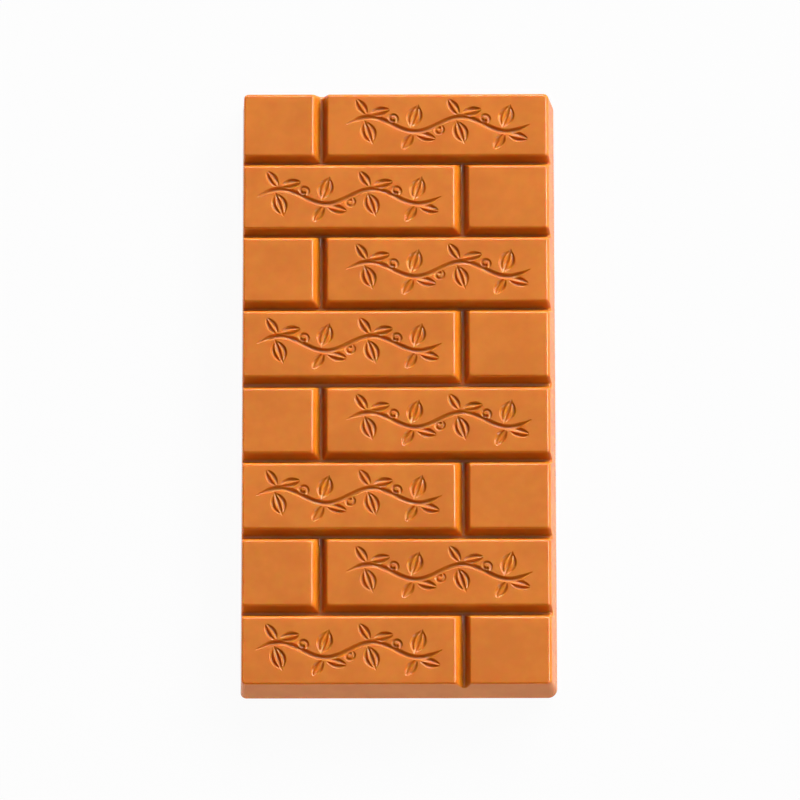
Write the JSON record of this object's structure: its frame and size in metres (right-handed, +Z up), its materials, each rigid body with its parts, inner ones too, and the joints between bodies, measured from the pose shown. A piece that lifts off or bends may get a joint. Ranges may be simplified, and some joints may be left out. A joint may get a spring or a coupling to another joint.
{
  "type": "chocolate bar",
  "caption": "Moulded blond chocolate bar with bricks in brick bond, grooves to break it along, and a vine engraved in the long bricks.",
  "frame": {"origin": "centre of the flat back of the bar, at the level of the surface it lies on", "axes": "+X across the bar, +Y along the bar to its head end, +Z up out of the bricks' faces"},
  "size_m": [0.08, 0.1622, 0.009],
  "materials": {
    "blond_chocolate": "satin, as cast chocolate: smooth, soft gloss, warm caramel colour"
  },
  "bodies": {
    "root": {"bar": "blond_chocolate"}
  },
  "joints": []
}
